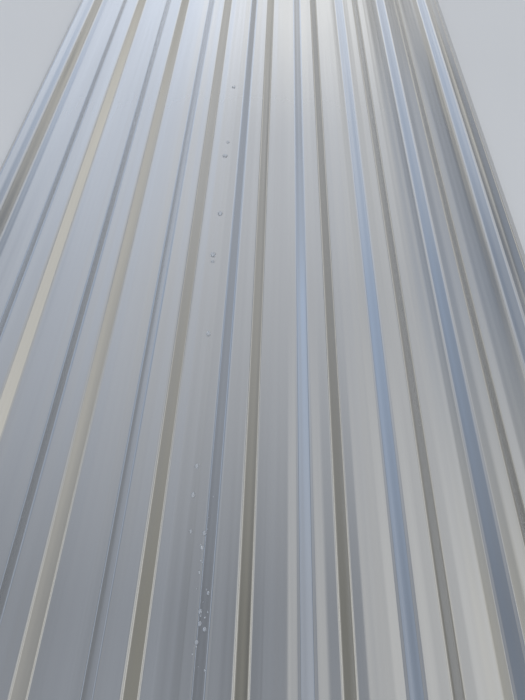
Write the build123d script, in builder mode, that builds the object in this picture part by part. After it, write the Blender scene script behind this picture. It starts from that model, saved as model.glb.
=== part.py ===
"""Trapezoidal corrugated metal sheet, cold rolled from one strip of coated steel.

The ribs run along Y, X goes across the sheet and +Z is up, with the weather side on top.
The sheet lies on the undersides of its pans. The origin is on the floor under its middle.
All sizes are in millimetres.
"""

from build123d import *

import os

# The strip that the sheet is rolled from
sheet_length = 2500.0
strip_thickness = 0.5

# The rib section, between the sharp corners that its bends round off
rib_pitch = 137.5
pitches_across = 8
crown_width = 34.5
web_run = 19.0
rib_height = 14.0

# Bend radii on the weather side, rounded at a crown and hollow at a pan
crown_bend_radius = 9.5
pan_bend_radius = 8.0

# How far the two outer webs come down from their crowns. The right one laps over the rib
# of the next sheet and stops just above its pan, and the left one lies under a neighbour.
lap_edge_drop = 13.5
underlap_edge_drop = 8.0

# How far a web leans out for each millimetre that it comes down
web_lean = web_run / rib_height


def crown_centres():
    """Return the middle of every crown across the sheet, from left to right."""
    return [index * rib_pitch for index in range(pitches_across + 1)]


def weather_side_corners():
    """Return the section's corners on the weather side, centred, with the crowns at height 0."""
    centres = crown_centres()
    half_crown = crown_width / 2
    corners = []
    for centre in centres:
        left_drop = underlap_edge_drop if centre == centres[0] else rib_height
        right_drop = lap_edge_drop if centre == centres[-1] else rib_height
        corners.append((centre - half_crown - left_drop * web_lean, -left_drop))
        corners.append((centre - half_crown, 0.0))
        corners.append((centre + half_crown, 0.0))
        corners.append((centre + half_crown + right_drop * web_lean, -right_drop))
    middle = (corners[0][0] + corners[-1][0]) / 2
    return [(across - middle, height) for across, height in corners]


def bend_radii(corners):
    """Return one radius for each bend, by whether it is at a crown or at a pan."""
    return [crown_bend_radius if height == 0.0 else pan_bend_radius for _, height in corners[1:-1]]


corners = weather_side_corners()
crown_level = strip_thickness + rib_height
near_end = Plane.XZ.offset(sheet_length / 2)

with BuildPart() as corrugated_sheet:
    with BuildSketch(near_end):
        with BuildLine():
            weather_side = FilletPolyline(
                *[(across, height + crown_level) for across, height in corners],
                radius=bend_radii(corners),
            )
            offset(weather_side, amount=strip_thickness, side=Side.RIGHT)
        make_face()
    extrude(amount=-sheet_length)

corrugated_sheet.part.label = "corrugated_sheet"

os.makedirs("parts", exist_ok=True)
export_step(corrugated_sheet.part, "parts/corrugated_sheet.step")
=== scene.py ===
"""Studio view of one flat-lying trapezoidal corrugated metal sheet, new and wet with a few drops.

The ribs run along Y, X goes across them and +Z is up, with the weather side on top. Lengths are in
metres and angles in degrees, unless a name says otherwise.
"""

import logging
import math
import random
from dataclasses import dataclass
from enum import Enum, IntEnum
from typing import Sequence

import bmesh
import bpy
from mathutils import Matrix, Vector, noise
from mathutils.bvhtree import BVHTree


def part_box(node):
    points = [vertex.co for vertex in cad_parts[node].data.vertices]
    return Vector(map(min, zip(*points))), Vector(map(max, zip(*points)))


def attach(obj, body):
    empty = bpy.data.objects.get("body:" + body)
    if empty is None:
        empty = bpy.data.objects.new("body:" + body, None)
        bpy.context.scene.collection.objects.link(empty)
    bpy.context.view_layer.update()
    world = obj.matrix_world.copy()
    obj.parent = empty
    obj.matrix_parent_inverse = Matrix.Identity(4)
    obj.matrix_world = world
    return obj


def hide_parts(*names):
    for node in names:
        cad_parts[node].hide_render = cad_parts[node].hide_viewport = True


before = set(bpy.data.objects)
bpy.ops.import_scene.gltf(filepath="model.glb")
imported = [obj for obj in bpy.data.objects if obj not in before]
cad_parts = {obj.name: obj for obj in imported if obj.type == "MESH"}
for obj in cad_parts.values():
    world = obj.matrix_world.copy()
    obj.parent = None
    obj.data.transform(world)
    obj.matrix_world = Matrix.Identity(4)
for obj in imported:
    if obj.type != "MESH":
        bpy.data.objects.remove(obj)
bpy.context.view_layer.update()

LOG = logging.getLogger("corrugated_sheet")

# A span is a lowest and a highest value, and patterns are counted per metre along X, Y and Z.
Colour = tuple[float, float, float]
PerMetre = tuple[float, float, float]
Span = tuple[float, float]

BODY = "root"
SHEET_NODE = "corrugated_sheet"

UP = Vector((0.0, 0.0, 1.0))
DOWN = Vector((0.0, 0.0, -1.0))
RIGHT_ANGLE = 90.0
MATRIX_SIZE = 4

# Places are compared to a thousandth of a millimetre.
PLACE_DIGITS = 6
SAME_PLACE = 1.0e-6

# The Mix node has sockets for every kind of value, and these are its sockets for colours.
MIX_COLOUR_INPUTS = (6, 7)
MIX_COLOUR_OUTPUT = 2


def new_object(name: str, bm: bmesh.types.BMesh) -> bpy.types.Object:
    """Turn a bmesh into a smooth-shaded object at the origin.

    Args:
        name: The object's and the mesh's name.
        bm: The finished shape, which is freed.

    Returns:
        The object, linked to the scene.
    """
    mesh = bpy.data.meshes.new(name)
    bm.to_mesh(mesh)
    bm.free()
    mesh.shade_smooth()
    made = bpy.data.objects.new(name, mesh)
    bpy.context.scene.collection.objects.link(made)
    return made


class NodeBench:
    """Adds nodes to one material or world and links them."""

    def __init__(self, owner: bpy.types.Material | bpy.types.World) -> None:
        """Clear the owner's nodes and keep its tree.

        Args:
            owner: The material or world to work on.
        """
        owner.use_nodes = True
        self.tree = owner.node_tree
        self.tree.nodes.clear()

    def add(self, kind: str, **settings: object) -> bpy.types.Node:
        """Add one node and set its properties.

        Args:
            kind: The node's type name.
            **settings: Properties of the node, by name.

        Returns:
            The node.
        """
        node = self.tree.nodes.new(kind)
        for name, value in settings.items():
            setattr(node, name, value)
        return node

    def link(self, source: bpy.types.NodeSocket, target: bpy.types.NodeSocket) -> None:
        """Link one socket to another."""
        self.tree.links.new(source, target)

    def object_place(self, scale: PerMetre) -> bpy.types.NodeSocket:
        """Read the Object coordinates, scaled.

        Args:
            scale: How many pattern units there are in a metre along X, Y and Z.

        Returns:
            The scaled coordinates.
        """
        place = self.add("ShaderNodeTexCoord")
        mapping = self.add("ShaderNodeMapping")
        mapping.inputs["Scale"].default_value = scale
        self.link(place.outputs["Object"], mapping.inputs["Vector"])
        return mapping.outputs["Vector"]

    def grain(self, scale: PerMetre, detail: float = 2.0, rough: float = 0.5) -> bpy.types.NodeSocket:
        """Make a noise that is stretched by its scale.

        Args:
            scale: How many grains there are in a metre along X, Y and Z.
            detail: How many finer layers the noise has.
            rough: How strong the finer layers are.

        Returns:
            The noise, about 0.5 in the middle.
        """
        made = self.add("ShaderNodeTexNoise")
        made.inputs["Scale"].default_value = 1.0
        made.inputs["Detail"].default_value = detail
        made.inputs["Roughness"].default_value = rough
        self.link(self.object_place(scale), made.inputs["Vector"])
        return made.outputs["Fac"]

    def spread(self, value: bpy.types.NodeSocket, low: float, high: float, to_low: float = 0.0,
               to_high: float = 1.0, smooth: bool = False) -> bpy.types.NodeSocket:
        """Map one range of a value to another.

        Args:
            value: The value to map.
            low: The value that becomes to_low.
            high: The value that becomes to_high.
            to_low: The result at low.
            to_high: The result at high.
            smooth: Whether the ends are eased.

        Returns:
            The mapped value.
        """
        node = self.add("ShaderNodeMapRange", interpolation_type="SMOOTHSTEP" if smooth else "LINEAR")
        node.inputs["From Min"].default_value = low
        node.inputs["From Max"].default_value = high
        node.inputs["To Min"].default_value = to_low
        node.inputs["To Max"].default_value = to_high
        self.link(value, node.inputs["Value"])
        return node.outputs["Result"]

    def calculate(self, operation: str, first: bpy.types.NodeSocket,
                  second: bpy.types.NodeSocket | float) -> bpy.types.NodeSocket:
        """Combine two values.

        Args:
            operation: The Math node's operation.
            first: The first value.
            second: The second value, a socket or a number.

        Returns:
            The result.
        """
        node = self.add("ShaderNodeMath", operation=operation)
        self.link(first, node.inputs[0])
        if isinstance(second, bpy.types.NodeSocket):
            self.link(second, node.inputs[1])
        else:
            node.inputs[1].default_value = second
        return node.outputs["Value"]

    def mix(self, share: bpy.types.NodeSocket, first: Colour | bpy.types.NodeSocket,
            second: Colour | bpy.types.NodeSocket) -> bpy.types.NodeSocket:
        """Mix two colours.

        Args:
            share: The second colour's share.
            first: The colour at 0.
            second: The colour at 1.

        Returns:
            The mixed colour.
        """
        node = self.add("ShaderNodeMix", data_type="RGBA", clamp_factor=True)
        self.link(share, node.inputs["Factor"])
        for number, colour in zip(MIX_COLOUR_INPUTS, (first, second)):
            if isinstance(colour, bpy.types.NodeSocket):
                self.link(colour, node.inputs[number])
            else:
                node.inputs[number].default_value = (*colour, 1.0)
        return node.outputs[MIX_COLOUR_OUTPUT]

    def bump(self, height: bpy.types.NodeSocket, depth: float,
             under: bpy.types.NodeSocket | None = None) -> bpy.types.NodeSocket:
        """Turn a height into a surface normal.

        Args:
            height: The pattern, 0 low and 1 high.
            depth: How far high lies above low, in metres.
            under: The normal to lay the pattern over, if any.

        Returns:
            The normal.
        """
        node = self.add("ShaderNodeBump")
        node.inputs["Strength"].default_value = 1.0
        node.inputs["Distance"].default_value = depth
        self.link(height, node.inputs["Height"])
        if under is not None:
            self.link(under, node.inputs["Normal"])
        return node.outputs["Normal"]

    def principled(self, metallic: float = 0.0, **steady: float) -> bpy.types.Node:
        """Add the surface shader and its output.

        Args:
            metallic: How metallic the surface is.
            **steady: Sockets that are the same all over, by name with underscores for spaces.

        Returns:
            The shader node.
        """
        shader = self.add("ShaderNodeBsdfPrincipled")
        shader.inputs["Metallic"].default_value = metallic
        for name, value in steady.items():
            shader.inputs[name.replace("_", " ")].default_value = value
        output = self.add("ShaderNodeOutputMaterial")
        self.link(shader.outputs["BSDF"], output.inputs["Surface"])
        return shader


@dataclass(frozen=True)
class TopCoat:
    """Silver-grey satin coil coat on the weather side, with the marks of the forming rolls."""

    colour: Colour = (0.50, 0.50, 0.49)
    colour_in_streaks: Colour = (0.48, 0.48, 0.475)
    metallic: float = 0.7
    smoothest: float = 0.11
    roughest: float = 0.17
    clear_layer: float = 0.25
    clear_roughness: float = 0.08
    streaks_per_metre: PerMetre = (130.0, 1.2, 130.0)
    streak_span: Span = (0.35, 0.75)
    streak_depth: float = 8.0e-7
    clouds_per_metre: PerMetre = (9.0, 2.5, 9.0)
    mottle_span: Span = (0.7, 1.3)
    drawn_lines_per_metre: PerMetre = (55.0, 0.25, 55.0)
    drawn_line_depth: float = 4.0e-4
    peel_per_metre: PerMetre = (700.0, 700.0, 700.0)
    peel_depth: float = 4.0e-7

    def material(self) -> bpy.types.Material:
        """Make the coat's material.

        Returns:
            The material.
        """
        made = bpy.data.materials.new("silver_top_coat")
        bench = NodeBench(made)
        shader = bench.principled(self.metallic, Coat_Weight=self.clear_layer,
                                  Coat_Roughness=self.clear_roughness)
        streaks = bench.grain(self.streaks_per_metre, detail=3.0, rough=0.6)
        clouds = bench.grain(self.clouds_per_metre)
        tone = bench.mix(bench.spread(streaks, *self.streak_span), self.colour, self.colour_in_streaks)
        bench.link(tone, shader.inputs["Base Color"])
        mottle = bench.calculate("ADD", streaks, clouds)
        roughness = bench.spread(mottle, *self.mottle_span, self.smoothest, self.roughest)
        bench.link(roughness, shader.inputs["Roughness"])
        lines = bench.grain(self.drawn_lines_per_metre, detail=1.0)
        peel = bench.grain(self.peel_per_metre, detail=1.0)
        drawn = bench.bump(streaks, self.streak_depth, bench.bump(lines, self.drawn_line_depth))
        bench.link(bench.bump(peel, self.peel_depth, drawn), shader.inputs["Normal"])
        return made


@dataclass(frozen=True)
class BackCoat:
    """Thin matt light-grey coat on the underside."""

    colour: Colour = (0.50, 0.50, 0.485)
    colour_where_thin: Colour = (0.40, 0.405, 0.40)
    metallic: float = 0.1
    smoothest: float = 0.48
    roughest: float = 0.62
    rolled_lines_per_metre: PerMetre = (180.0, 3.0, 180.0)
    thin_span: Span = (0.18, 0.42)
    mottle_per_metre: PerMetre = (900.0, 700.0, 900.0)
    mottle_span: Span = (0.3, 0.7)
    mottle_depth: float = 6.0e-6

    def material(self) -> bpy.types.Material:
        """Make the coat's material.

        Returns:
            The material.
        """
        made = bpy.data.materials.new("matt_back_coat")
        bench = NodeBench(made)
        shader = bench.principled(self.metallic)
        rolled = bench.grain(self.rolled_lines_per_metre, detail=3.0)
        mottle = bench.grain(self.mottle_per_metre)
        thin = bench.spread(bench.calculate("MULTIPLY", rolled, mottle), *self.thin_span)
        bench.link(bench.mix(thin, self.colour, self.colour_where_thin), shader.inputs["Base Color"])
        roughness = bench.spread(mottle, *self.mottle_span, self.smoothest, self.roughest)
        bench.link(roughness, shader.inputs["Roughness"])
        bench.link(bench.bump(mottle, self.mottle_depth), shader.inputs["Normal"])
        return made


@dataclass(frozen=True)
class CutEdge:
    """Sheared bare steel on the four cut edges, smeared with a little zinc."""

    steel: Colour = (0.33, 0.33, 0.335)
    zinc: Colour = (0.52, 0.53, 0.54)
    metallic: float = 0.9
    smoothest: float = 0.35
    roughest: float = 0.6
    tears_per_metre: PerMetre = (1500.0, 1500.0, 300.0)
    zinc_span: Span = (0.4, 0.6)
    tear_span: Span = (0.3, 0.7)
    tear_depth: float = 2.0e-5

    def material(self) -> bpy.types.Material:
        """Make the edge's material.

        Returns:
            The material.
        """
        made = bpy.data.materials.new("sheared_steel_edge")
        bench = NodeBench(made)
        shader = bench.principled(self.metallic)
        tears = bench.grain(self.tears_per_metre, detail=3.0)
        smeared = bench.spread(tears, *self.zinc_span)
        bench.link(bench.mix(smeared, self.steel, self.zinc), shader.inputs["Base Color"])
        roughness = bench.spread(tears, *self.tear_span, self.smoothest, self.roughest)
        bench.link(roughness, shader.inputs["Roughness"])
        bench.link(bench.bump(tears, self.tear_depth), shader.inputs["Normal"])
        return made


class Side(IntEnum):
    """Which side of the strip a face is on, as the number of its material."""

    WEATHER = 0
    BACK = 1
    EDGE = 2


class Turn(Enum):
    """What the strip does at a corner of the section."""

    SLIT_EDGE = "it ends"
    CROWN_BEND = "it bends down from a crown into a web"
    PAN_BEND = "it bends from a web into a pan"
    PAN_CREASE = "it has a shallow crease in a pan, which the rolls leave"
    CROWN_CREASE = "it has a shallow crease along the middle of a crown, which the rolls leave"


@dataclass(frozen=True)
class Corner:
    """One sharp corner of the weather side, before it is rounded."""

    across: float
    height: float
    turn: Turn


@dataclass(frozen=True)
class Rounding:
    """How the corners of one kind are rounded."""

    reach: float
    steps: int


@dataclass
class CorrugatedSheet:
    """The rolled sheet: nine crowns and eight pans of one strip, as the CAD node has them.

    The CAD node has the section's plain flats. Here the pans and crowns also have the shallow
    creases of the forming rolls, which is what makes their bands of light.
    """

    rib_pitch: float = 0.1375
    pitches_across: int = 8
    crown_width: float = 0.0345
    web_run: float = 0.019
    rib_height: float = 0.014
    strip_thickness: float = 0.0005
    crown_bend_radius: float = 0.0095
    pan_bend_radius: float = 0.008
    bend_steps: int = 8
    lap_edge_drop: float = 0.0135
    underlap_edge_drop: float = 0.008
    pan_crease_inset: float = 0.0158
    pan_rise: float = 0.00085
    pan_crease_half_width: float = 0.0018
    crown_dip: float = 0.0005
    crown_crease_half_width: float = 0.0033
    crease_steps: int = 4
    widest_strip: float = 0.005
    rows_along: int = 60
    ripple: float = 0.00012
    ripple_across: float = 0.11
    ripple_along: float = 0.28
    sharp_from_angle: float = 40.0
    finishes: tuple[TopCoat, BackCoat, CutEdge] = (TopCoat(), BackCoat(), CutEdge())

    def __post_init__(self) -> None:
        """Take the sheet's length and level from the CAD node."""
        low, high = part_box(SHEET_NODE)
        self.near_end = low[1]
        self.far_end = high[1]
        self.crown_level = high[2]
        self.pan_level = high[2] - self.rib_height

    def crown_centres(self) -> list[float]:
        """Work out the middle of every crown, with the whole width centred.

        Returns:
            The middles, from left to right.
        """
        lean = self.web_run / self.rib_height
        offset = (self.lap_edge_drop - self.underlap_edge_drop) * lean / 2
        middle = self.pitches_across / 2
        return [(number - middle) * self.rib_pitch - offset for number in range(self.pitches_across + 1)]

    def middle_crown(self) -> float:
        """Return where the middle crown is across the sheet."""
        return self.crown_centres()[self.pitches_across // 2]

    def corners(self) -> list[Corner]:
        """Work out the section's corners on the weather side.

        Returns:
            The corners, from left to right.
        """
        centres = self.crown_centres()
        lean = self.web_run / self.rib_height
        half = self.crown_width / 2
        creased = self.pan_level + self.pan_rise
        found = []
        for centre in centres:
            first = centre == centres[0]
            last = centre == centres[-1]
            left_drop = self.underlap_edge_drop if first else self.rib_height
            right_drop = self.lap_edge_drop if last else self.rib_height
            foot = Turn.SLIT_EDGE if first else Turn.PAN_BEND
            found.append(Corner(centre - half - left_drop * lean, self.crown_level - left_drop, foot))
            found.append(Corner(centre - half, self.crown_level, Turn.CROWN_BEND))
            found.append(Corner(centre, self.crown_level - self.crown_dip, Turn.CROWN_CREASE))
            found.append(Corner(centre + half, self.crown_level, Turn.CROWN_BEND))
            foot = Turn.SLIT_EDGE if last else Turn.PAN_BEND
            right = centre + half + right_drop * lean
            found.append(Corner(right, self.crown_level - right_drop, foot))
            if not last:
                next_foot = centre + self.rib_pitch - half - self.web_run
                found.append(Corner(right + self.pan_crease_inset, creased, Turn.PAN_CREASE))
                found.append(Corner(next_foot - self.pan_crease_inset, creased, Turn.PAN_CREASE))
        return found

    def roundings(self) -> dict[Turn, Rounding]:
        """Work out how each kind of corner is rounded, with a bend's reach from its radius.

        Returns:
            The rounding of every kind of corner but the slit edges.
        """
        half_turn = math.atan2(self.rib_height, self.web_run) / 2
        return {
            Turn.CROWN_BEND: Rounding(self.crown_bend_radius * math.tan(half_turn), self.bend_steps),
            Turn.PAN_BEND: Rounding(self.pan_bend_radius * math.tan(half_turn), self.bend_steps),
            Turn.PAN_CREASE: Rounding(self.pan_crease_half_width, self.crease_steps),
            Turn.CROWN_CREASE: Rounding(self.crown_crease_half_width, self.crease_steps),
        }

    @staticmethod
    def _place(across: float, height: float) -> tuple[float, float]:
        """Return a place in the section, rounded so that it can be compared."""
        return round(across, PLACE_DIGITS), round(height, PLACE_DIGITS)

    @staticmethod
    def _run(edge: bmesh.types.BMEdge) -> float:
        """Return how far an edge runs along the sheet."""
        return abs(edge.verts[0].co.y - edge.verts[1].co.y)

    def _roll_out(self, bm: bmesh.types.BMesh, corners: list[Corner]) -> None:
        """Lead a point along the section and draw the line that it leaves out to the far end.

        Args:
            bm: The empty bmesh.
            corners: The section's corners.
        """
        start = Vector((corners[0].across, self.near_end, corners[0].height))
        tip = bmesh.ops.create_vert(bm, co=start)["vert"][0]
        for before, after in zip(corners, corners[1:]):
            tip = bmesh.ops.extrude_vert_indiv(bm, verts=[tip])["verts"][0]
            step = (after.across - before.across, 0.0, after.height - before.height)
            bmesh.ops.translate(bm, verts=[tip], vec=step)
        drawn = bmesh.ops.extrude_edge_only(bm, edges=bm.edges[:])["geom"]
        far = [part for part in drawn if isinstance(part, bmesh.types.BMVert)]
        bmesh.ops.translate(bm, verts=far, vec=(0.0, self.far_end - self.near_end, 0.0))
        bmesh.ops.recalc_face_normals(bm, faces=bm.faces[:])
        if sum(face.normal.z for face in bm.faces) < 0:
            bmesh.ops.reverse_faces(bm, faces=bm.faces[:])

    def _round_corners(self, bm: bmesh.types.BMesh, corners: list[Corner]) -> None:
        """Round every bend and soften every crease along the sheet.

        Args:
            bm: The sharp sheet.
            corners: The section's corners.
        """
        for turn, rounding in self.roundings().items():
            places = {self._place(corner.across, corner.height) for corner in corners if corner.turn is turn}
            bends = [edge for edge in bm.edges if self._run(edge) > self.rib_pitch
                     and all(self._place(vert.co.x, vert.co.z) in places for vert in edge.verts)]
            bmesh.ops.bevel(bm, geom=bends, offset=rounding.reach, offset_type="OFFSET", affect="EDGES",
                            segments=rounding.steps, profile=0.5, material=-1)

    def _divide(self, bm: bmesh.types.BMesh) -> None:
        """Divide the flats into narrow strips and the length into rows.

        Args:
            bm: The rounded sheet.
        """
        by_cuts: dict[int, list[bmesh.types.BMEdge]] = {}
        for edge in bm.edges:
            cuts = math.ceil(edge.calc_length() / self.widest_strip) - 1
            if edge.is_boundary and self._run(edge) < SAME_PLACE and cuts > 0:
                by_cuts.setdefault(cuts, []).append(edge)
        for cuts, edges in by_cuts.items():
            bmesh.ops.subdivide_edges(bm, edges=edges, cuts=cuts, use_grid_fill=True)
        along = [edge for edge in bm.edges if self._run(edge) > self.rib_pitch]
        bmesh.ops.subdivide_edges(bm, edges=along, cuts=self.rows_along - 1, use_grid_fill=True)

    def _thicken(self, bm: bmesh.types.BMesh) -> None:
        """Give the strip its thickness below the weather side and mark the side of each face.

        Args:
            bm: The divided sheet, one face thick.
        """
        weather = set(bm.verts)
        bmesh.ops.solidify(bm, geom=bm.faces[:], thickness=self.strip_thickness)
        bm.normal_update()
        for face in bm.faces:
            shared = sum(vert in weather for vert in face.verts)
            face.material_index = {0: Side.BACK, len(face.verts): Side.WEATHER}.get(shared, Side.EDGE)

    def _ripple(self, bm: bmesh.types.BMesh) -> None:
        """Let the flats rise and sink a little along the sheet, as rolled strip does.

        Args:
            bm: The finished section.
        """
        middle = (self.crown_level + self.pan_level) / 2
        for vert in bm.verts:
            place = Vector((vert.co.x / self.ripple_across, vert.co.y / self.ripple_along, 0.0))
            swell = self.ripple * (0.5 + 0.5 * noise.noise(place))
            vert.co.z += -swell if vert.co.z > middle else swell

    def build(self) -> bpy.types.Object:
        """Build the sheet and dress it, in the place of its CAD node.

        Returns:
            The sheet.
        """
        corners = self.corners()
        bm = bmesh.new()
        self._roll_out(bm, corners)
        self._round_corners(bm, corners)
        self._divide(bm)
        self._thicken(bm)
        self._ripple(bm)
        sheet = new_object("rolled_sheet", bm)
        sheet.data.set_sharp_from_angle(angle=math.radians(self.sharp_from_angle))
        for finish in self.finishes:
            sheet.data.materials.append(finish.material())
        weighted = sheet.modifiers.new("even_flats", "WEIGHTED_NORMAL")
        weighted.mode = "FACE_AREA"
        weighted.keep_sharp = True
        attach(sheet, BODY)
        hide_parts(SHEET_NODE)
        return sheet


@dataclass(frozen=True)
class Water:
    """Rain water, a little clouded, so that a drop gathers light as a real one does."""

    colour: Colour = (0.93, 0.96, 1.0)
    clear_share: float = 0.66
    refraction: float = 1.333
    roughness: float = 0.04
    ripples_per_metre: PerMetre = (160.0, 160.0, 160.0)
    ripple_depth: float = 2.0e-5

    def material(self) -> bpy.types.Material:
        """Make the water's material.

        Returns:
            The material.
        """
        made = bpy.data.materials.new("rain_water")
        bench = NodeBench(made)
        shader = bench.principled(Transmission_Weight=self.clear_share, IOR=self.refraction,
                                  Roughness=self.roughness)
        shader.inputs["Base Color"].default_value = (*self.colour, 1.0)
        ripples = bench.grain(self.ripples_per_metre, detail=1.0)
        bench.link(bench.bump(ripples, self.ripple_depth), shader.inputs["Normal"])
        return made


@dataclass(frozen=True)
class Drop:
    """One drop: its places from the middle crown and from the sheet's middle, and its size.

    The stretch is its length as a share of its width.
    """

    across: float
    along: float
    width: float
    stretch: float = 1.0


@dataclass
class WaterDrops:
    """The rain drops in the pan left of the middle crown and on the foot of its web."""

    drops: tuple[Drop, ...] = (
        Drop(-0.0646, 0.341, 0.0095, 1.3),
        Drop(-0.0642, 0.094, 0.0070, 1.3),
        Drop(-0.0675, 0.040, 0.0140, 1.1),
        Drop(-0.0641, -0.163, 0.0115, 1.3),
        Drop(-0.0701, -0.287, 0.0115, 1.3),
        Drop(-0.0692, -0.306, 0.0075),
        Drop(-0.0620, -0.487, 0.0080, 1.5),
        Drop(-0.0581, -0.744, 0.0070, 1.3),
        Drop(-0.0593, -0.790, 0.0060, 1.5),
        Drop(-0.0577, -0.844, 0.0040, 1.7),
        Drop(-0.0371, -0.846, 0.0072),
        Drop(-0.0385, -0.867, 0.0065, 1.1),
        Drop(-0.0394, -0.900, 0.0035, 1.3),
        Drop(-0.0242, -0.928, 0.0045, 1.2),
        Drop(-0.0335, -0.950, 0.0062),
        Drop(-0.0326, -0.965, 0.0062, 1.1),
        Drop(-0.0253, -0.972, 0.0058),
        Drop(-0.0348, -0.987, 0.0058),
    )
    height_share: float = 0.34
    tallest: float = 0.0026
    sunk: float = 0.0003
    ball_subdivisions: int = 4
    lumps_per_radius: float = 0.9
    lump_height: float = 0.08
    lump_phases: Span = (0.0, 50.0)
    specks: int = 16
    speck_widths: Span = (0.0014, 0.0028)
    speck_stretches: Span = (1.0, 1.4)
    specks_across: Span = (-0.042, -0.020)
    specks_along: Span = (-1.03, -0.78)
    look_down_from: float = 1.0
    seed: int = 7

    def build(self, sheet: bpy.types.Object, middle_crown: float) -> bpy.types.Object:
        """Seat every drop on the sheet and join them in one piece.

        Args:
            sheet: The sheet that carries the drops.
            middle_crown: Where the middle crown is across the sheet.

        Returns:
            The drops.
        """
        seats = BVHTree.FromObject(sheet, bpy.context.evaluated_depsgraph_get())
        chance = random.Random(self.seed)
        bm = bmesh.new()
        for drop in (*self.drops, *self._specks(chance)):
            self._add(bm, drop, middle_crown, seats, chance)
        made = new_object("water_drops", bm)
        made.data.materials.append(Water().material())
        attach(made, BODY)
        return made

    def _specks(self, chance: random.Random) -> list[Drop]:
        """Scatter the smallest drops over the foot of the web and beside it.

        Args:
            chance: The seeded source of their places and sizes.

        Returns:
            The drops.
        """
        found = []
        for _ in range(self.specks):
            across = chance.uniform(*self.specks_across)
            along = chance.uniform(*self.specks_along)
            width = chance.uniform(*self.speck_widths)
            stretch = chance.uniform(*self.speck_stretches)
            found.append(Drop(across, along, width, stretch))
        return found

    def _add(self, bm: bmesh.types.BMesh, drop: Drop, middle_crown: float, seats: BVHTree,
             chance: random.Random) -> None:
        """Add one drop and set it a little into its seat.

        Args:
            bm: The bmesh that takes the drop.
            drop: The drop's place and size.
            middle_crown: Where the middle crown is across the sheet.
            seats: The sheet's surface.
            chance: The seeded source of small differences.
        """
        above = Vector((middle_crown + drop.across, drop.along, self.look_down_from))
        foot, normal, _, _ = seats.ray_cast(above, DOWN)
        cap = self._cap(bm, drop, chance.uniform(*self.lump_phases))
        tilt = UP.rotation_difference(normal).to_matrix().to_4x4()
        bmesh.ops.transform(bm, verts=cap, matrix=Matrix.Translation(foot) @ tilt)

    def _cap(self, bm: bmesh.types.BMesh, drop: Drop, phase: float) -> list[bmesh.types.BMVert]:
        """Make a drop's shape at the origin: the cap of a slightly lumpy ball, closed below.

        Args:
            bm: The bmesh that takes the drop.
            drop: The drop's size.
            phase: Where in the noise the ball's lumps are taken from.

        Returns:
            The cap's vertices.
        """
        height = min(drop.width * self.height_share, self.tallest)
        radius = (drop.width ** 2 / 4 + height ** 2) / (2 * height)
        made = bmesh.ops.create_icosphere(bm, subdivisions=self.ball_subdivisions, radius=radius)
        ball = made["verts"]
        for vert in ball:
            lump = noise.noise(vert.co * self.lumps_per_radius / radius + Vector((phase, 0.0, 0.0)))
            vert.co *= 1.0 + self.lump_height * lump
        bmesh.ops.scale(bm, verts=ball, vec=(1.0, drop.stretch, 1.0))
        bmesh.ops.translate(bm, verts=ball, vec=(0.0, 0.0, height - radius))
        parts = list({part for vert in ball for part in (*vert.link_edges, *vert.link_faces)})
        cut = bmesh.ops.bisect_plane(bm, geom=[*ball, *parts], plane_co=(0.0, 0.0, -self.sunk),
                                     plane_no=UP, clear_inner=True)
        rim = [part for part in cut["geom_cut"] if isinstance(part, bmesh.types.BMEdge)]
        bmesh.ops.holes_fill(bm, edges=rim, sides=len(rim))
        return self._island(rim[0].verts[0])

    @staticmethod
    def _island(start: bmesh.types.BMVert) -> list[bmesh.types.BMVert]:
        """Find every vertex that is joined to one vertex.

        Args:
            start: The vertex to start from.

        Returns:
            The vertices, the first one too.
        """
        found = {start}
        waiting = [start]
        while waiting:
            for edge in waiting.pop().link_edges:
                for vert in edge.verts:
                    if vert not in found:
                        found.add(vert)
                        waiting.append(vert)
        return list(found)


class Tint(Enum):
    """The tints of the light, as shares of red, green and blue."""

    BLUE = (0.76, 1.0, 1.42)
    COOL = (0.91, 1.0, 1.17)
    MILD = (0.96, 1.0, 1.08)
    PLAIN = (0.99, 1.0, 1.01)
    CREAM = (1.03, 1.0, 0.91)
    WARM = (1.05, 1.0, 0.80)


@dataclass(frozen=True)
class LightBand:
    """The light tent's brightness and tint at one angle from overhead, negative to the left."""

    angle: float
    brightness: float
    tint: Tint


@dataclass(frozen=True)
class LightRing:
    """The bands round the tent in the directions that point this much along the sheet.

    At 0 a direction points straight across the sheet or up, and at 1 straight to its far end.
    """

    along: float
    bands: tuple[LightBand, ...]


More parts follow.
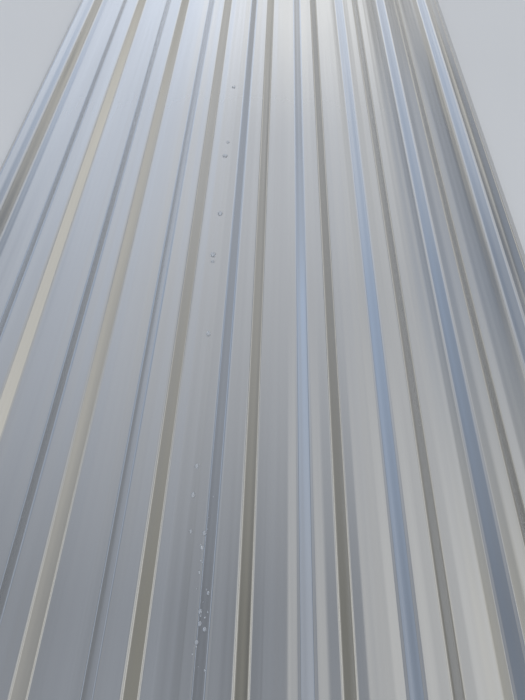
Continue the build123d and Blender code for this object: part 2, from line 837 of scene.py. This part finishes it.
@dataclass
class LightTent:
    """A soft tent of light over the sheet: long bands ahead of the viewpoint, plain elsewhere.

    The plain light is darker low down than overhead. Where the bands start and end is given as for
    a ring, by how much a direction points along the sheet, and is negative behind the viewpoint.
    """

    widest_angle: float = 120.0
    plain_low: Colour = (0.50, 0.52, 0.55)
    plain_overhead: Colour = (0.79, 0.82, 0.88)
    even_from_height: float = 0.5
    plain_behind: float = -0.30
    bands_start: float = -0.05
    bands_end: float = 0.93
    plain_far_end: float = 0.97
    rings: tuple[LightRing, ...] = (
        LightRing(0.12, (
            LightBand(-90.0, 0.72, Tint.COOL),
            LightBand(-84.0, 0.40, Tint.COOL),
            LightBand(-79.0, 0.10, Tint.COOL),
            LightBand(-76.0, 0.22, Tint.COOL),
            LightBand(-72.0, 0.56, Tint.COOL),
            LightBand(-67.0, 0.56, Tint.COOL),
            LightBand(-62.0, 1.00, Tint.COOL),
            LightBand(-57.0, 0.43, Tint.BLUE),
            LightBand(-47.0, 0.20, Tint.BLUE),
            LightBand(-38.0, 0.53, Tint.PLAIN),
            LightBand(-25.0, 0.38, Tint.COOL),
            LightBand(-10.0, 0.48, Tint.COOL),
            LightBand(-4.0, 0.24, Tint.COOL),
            LightBand(1.0, 0.44, Tint.COOL),
            LightBand(5.0, 0.28, Tint.COOL),
            LightBand(8.0, 0.36, Tint.COOL),
            LightBand(10.0, 0.96, Tint.PLAIN),
            LightBand(14.0, 0.72, Tint.PLAIN),
            LightBand(21.0, 1.08, Tint.PLAIN),
            LightBand(25.0, 1.00, Tint.CREAM),
            LightBand(29.0, 0.32, Tint.WARM),
            LightBand(33.0, 0.80, Tint.PLAIN),
            LightBand(37.0, 1.02, Tint.PLAIN),
            LightBand(43.0, 1.30, Tint.CREAM),
            LightBand(49.0, 0.66, Tint.CREAM),
            LightBand(53.0, 0.42, Tint.PLAIN),
            LightBand(60.0, 0.27, Tint.WARM),
            LightBand(66.0, 0.38, Tint.WARM),
            LightBand(75.0, 0.08, Tint.WARM),
            LightBand(82.0, 0.24, Tint.WARM),
            LightBand(90.0, 0.16, Tint.WARM),
        )),
        LightRing(0.63, (
            LightBand(-90.0, 1.05, Tint.COOL),
            LightBand(-79.0, 0.48, Tint.COOL),
            LightBand(-75.0, 0.48, Tint.COOL),
            LightBand(-70.0, 0.76, Tint.COOL),
            LightBand(-63.0, 0.98, Tint.BLUE),
            LightBand(-58.0, 0.68, Tint.BLUE),
            LightBand(-52.0, 0.72, Tint.BLUE),
            LightBand(-42.0, 0.28, Tint.BLUE),
            LightBand(-35.0, 0.86, Tint.COOL),
            LightBand(-26.0, 0.90, Tint.COOL),
            LightBand(-10.0, 0.88, Tint.MILD),
            LightBand(-4.0, 0.79, Tint.MILD),
            LightBand(11.0, 0.81, Tint.MILD),
            LightBand(19.0, 0.88, Tint.PLAIN),
            LightBand(23.0, 0.64, Tint.COOL),
            LightBand(27.0, 0.64, Tint.COOL),
            LightBand(31.0, 0.28, Tint.BLUE),
            LightBand(37.0, 0.06, Tint.BLUE),
            LightBand(40.0, 1.12, Tint.PLAIN),
            LightBand(44.0, 1.14, Tint.CREAM),
            LightBand(51.0, 0.84, Tint.CREAM),
            LightBand(56.0, 0.52, Tint.PLAIN),
            LightBand(66.0, 0.62, Tint.CREAM),
            LightBand(77.0, 0.42, Tint.PLAIN),
            LightBand(90.0, 0.38, Tint.CREAM),
        )),
        LightRing(0.84, (
            LightBand(-90.0, 1.12, Tint.COOL),
            LightBand(-77.0, 0.56, Tint.COOL),
            LightBand(-67.0, 0.60, Tint.COOL),
            LightBand(-58.0, 1.20, Tint.COOL),
            LightBand(-49.0, 0.58, Tint.BLUE),
            LightBand(-45.0, 1.30, Tint.COOL),
            LightBand(-41.0, 0.66, Tint.BLUE),
            LightBand(-36.0, 1.30, Tint.COOL),
            LightBand(-28.0, 1.18, Tint.COOL),
            LightBand(-18.0, 1.13, Tint.COOL),
            LightBand(-9.0, 1.16, Tint.MILD),
            LightBand(-4.0, 1.00, Tint.MILD),
            LightBand(2.0, 1.00, Tint.MILD),
            LightBand(11.0, 1.10, Tint.MILD),
            LightBand(20.0, 1.03, Tint.PLAIN),
            LightBand(23.0, 0.59, Tint.COOL),
            LightBand(27.0, 0.70, Tint.COOL),
            LightBand(31.0, 0.28, Tint.COOL),
            LightBand(35.0, 0.05, Tint.COOL),
            LightBand(37.0, 1.10, Tint.CREAM),
            LightBand(42.0, 1.30, Tint.CREAM),
            LightBand(49.0, 0.86, Tint.CREAM),
            LightBand(56.0, 0.86, Tint.PLAIN),
            LightBand(62.0, 0.74, Tint.PLAIN),
            LightBand(68.0, 0.82, Tint.PLAIN),
            LightBand(75.0, 0.26, Tint.PLAIN),
            LightBand(84.0, 0.63, Tint.PLAIN),
            LightBand(92.0, 0.54, Tint.PLAIN),
        )),
        LightRing(0.92, (
            LightBand(-91.0, 0.72, Tint.COOL),
            LightBand(-84.0, 0.92, Tint.COOL),
            LightBand(-76.0, 0.50, Tint.PLAIN),
            LightBand(-65.0, 0.86, Tint.PLAIN),
            LightBand(-56.0, 1.46, Tint.COOL),
            LightBand(-49.0, 0.86, Tint.COOL),
            LightBand(-45.0, 1.40, Tint.COOL),
            LightBand(-40.0, 1.00, Tint.COOL),
            LightBand(-36.0, 1.30, Tint.COOL),
            LightBand(-28.0, 1.46, Tint.COOL),
            LightBand(-18.0, 1.50, Tint.COOL),
            LightBand(-9.0, 1.63, Tint.MILD),
            LightBand(-4.0, 1.50, Tint.MILD),
            LightBand(2.0, 1.50, Tint.PLAIN),
            LightBand(10.0, 1.60, Tint.PLAIN),
            LightBand(20.0, 1.36, Tint.PLAIN),
            LightBand(23.0, 0.38, Tint.CREAM),
            LightBand(29.0, 0.46, Tint.PLAIN),
            LightBand(32.0, 1.60, Tint.PLAIN),
            LightBand(36.0, 0.60, Tint.PLAIN),
            LightBand(41.0, 0.85, Tint.CREAM),
            LightBand(49.0, 0.46, Tint.CREAM),
            LightBand(56.0, 0.92, Tint.CREAM),
            LightBand(62.0, 0.74, Tint.PLAIN),
            LightBand(68.0, 0.86, Tint.CREAM),
            LightBand(77.0, 0.46, Tint.PLAIN),
            LightBand(83.0, 0.66, Tint.PLAIN),
            LightBand(92.0, 0.54, Tint.PLAIN),
        )),
    )

    def build(self) -> bpy.types.World:
        """Light the scene with the tent.

        Returns:
            The world, set in the scene.
        """
        world = bpy.data.worlds.new("light_tent")
        bench = NodeBench(world)
        place = bench.add("ShaderNodeTexCoord")
        parts = bench.add("ShaderNodeSeparateXYZ")
        bench.link(place.outputs["Generated"], parts.inputs["Vector"])
        lateral = bench.calculate("ARCTAN2", parts.outputs["X"], parts.outputs["Z"])
        widest = math.radians(self.widest_angle)
        round_share = bench.spread(lateral, -widest, widest)
        along = parts.outputs["Y"]
        light = self._ring(bench, round_share, self.rings[0])
        for nearer, farther in zip(self.rings, self.rings[1:]):
            share = bench.spread(along, nearer.along, farther.along)
            light = bench.mix(share, light, self._ring(bench, round_share, farther))
        behind = bench.spread(along, self.plain_behind, self.bands_start, 1.0, 0.0, smooth=True)
        far_end = bench.spread(along, self.bands_end, self.plain_far_end, smooth=True)
        height = bench.spread(parts.outputs["Z"], 0.0, self.even_from_height)
        plain = bench.mix(height, self.plain_low, self.plain_overhead)
        light = bench.mix(far_end, bench.mix(behind, light, plain), plain)
        background = bench.add("ShaderNodeBackground")
        bench.link(light, background.inputs["Color"])
        output = bench.add("ShaderNodeOutputWorld")
        bench.link(background.outputs["Background"], output.inputs["Surface"])
        bpy.context.scene.world = world
        return world

    def _ring(self, bench: NodeBench, share: bpy.types.NodeSocket, ring: LightRing) -> bpy.types.NodeSocket:
        """Lay one ring's bands round the tent.

        Args:
            bench: The world's nodes.
            share: The angle round the sheet's length, from 0 at the far left to 1 at the far right.
            ring: The ring to lay.

        Returns:
            The ring's colour.
        """
        ramp = bench.add("ShaderNodeValToRGB")
        stops = ramp.color_ramp.elements
        stops.remove(stops[1])
        for number, band in enumerate(ring.bands):
            position = 0.5 + band.angle / (2 * self.widest_angle)
            stop = stops[0] if number == 0 else stops.new(position)
            stop.position = position
            stop.color = (*(band.brightness * part for part in band.tint.value), 1.0)
        bench.link(share, ramp.inputs["Fac"])
        return ramp.outputs["Color"]


@dataclass(frozen=True)
class PaintedFloor:
    """Pale, matt, slightly uneven floor paint."""

    colour: Colour = (0.78, 0.78, 0.77)
    colour_in_patches: Colour = (0.74, 0.74, 0.735)
    roughness: float = 0.7
    patches_per_metre: PerMetre = (1.5, 1.5, 1.5)

    def material(self) -> bpy.types.Material:
        """Make the paint's material.

        Returns:
            The material.
        """
        made = bpy.data.materials.new("pale_floor_paint")
        bench = NodeBench(made)
        shader = bench.principled(Roughness=self.roughness)
        patches = bench.grain(self.patches_per_metre, detail=4.0)
        bench.link(bench.mix(patches, self.colour, self.colour_in_patches), shader.inputs["Base Color"])
        return made


@dataclass
class StudioFloor:
    """The plain floor that the sheet lies on."""

    half_width: float = 40.0

    def build(self) -> bpy.types.Object:
        """Lay the floor.

        Returns:
            The floor.
        """
        bm = bmesh.new()
        bmesh.ops.create_grid(bm, x_segments=1, y_segments=1, size=self.half_width)
        floor = new_object("studio_floor", bm)
        floor.data.materials.append(PaintedFloor().material())
        return floor


@dataclass
class Viewpoint:
    """The camera: held over the near end of the sheet and pointed down along its ribs."""

    right_of_crown: float = 0.0312
    along: float = -1.05
    height: float = 0.7941
    below_horizon: float = 56.15
    turned_right: float = 0.82
    rolled: float = 2.97
    lens_mm: float = 27.0
    sensor_mm: float = 36.0

    def build(self, middle_crown: float) -> bpy.types.Object:
        """Set the camera up beside the middle crown.

        Args:
            middle_crown: Where the middle crown is across the sheet.

        Returns:
            The camera, set in the scene.
        """
        data = bpy.data.cameras.new("viewpoint")
        data.lens = self.lens_mm
        data.sensor_width = self.sensor_mm
        camera = bpy.data.objects.new("viewpoint", data)
        bpy.context.scene.collection.objects.link(camera)
        turn = Matrix.Rotation(math.radians(-self.turned_right), MATRIX_SIZE, "Z")
        tip = Matrix.Rotation(math.radians(RIGHT_ANGLE - self.below_horizon), MATRIX_SIZE, "X")
        roll = Matrix.Rotation(math.radians(self.rolled), MATRIX_SIZE, "Z")
        place = Matrix.Translation((middle_crown + self.right_of_crown, self.along, self.height))
        camera.matrix_world = place @ turn @ tip @ roll
        bpy.context.scene.camera = camera
        return camera


def report(piece: bpy.types.Object) -> None:
    """Log a piece's name and how many triangles it has."""
    triangles = sum(len(face.vertices) - 2 for face in piece.data.polygons)
    LOG.info("%s: %d triangles", piece.name, triangles)


def main() -> None:
    """Build the sheet, its drops, the floor, the light and the camera, in that order."""
    logging.basicConfig(level=logging.INFO, format="%(name)s %(message)s")
    section = CorrugatedSheet()
    middle_crown = section.middle_crown()
    sheet = section.build()
    report(sheet)
    report(WaterDrops().build(sheet, middle_crown))
    report(StudioFloor().build())
    LightTent().build()
    Viewpoint().build(middle_crown)
    bpy.context.scene.view_settings.view_transform = "Standard"
    bpy.context.view_layer.update()


if __name__ == "__main__":
    main()
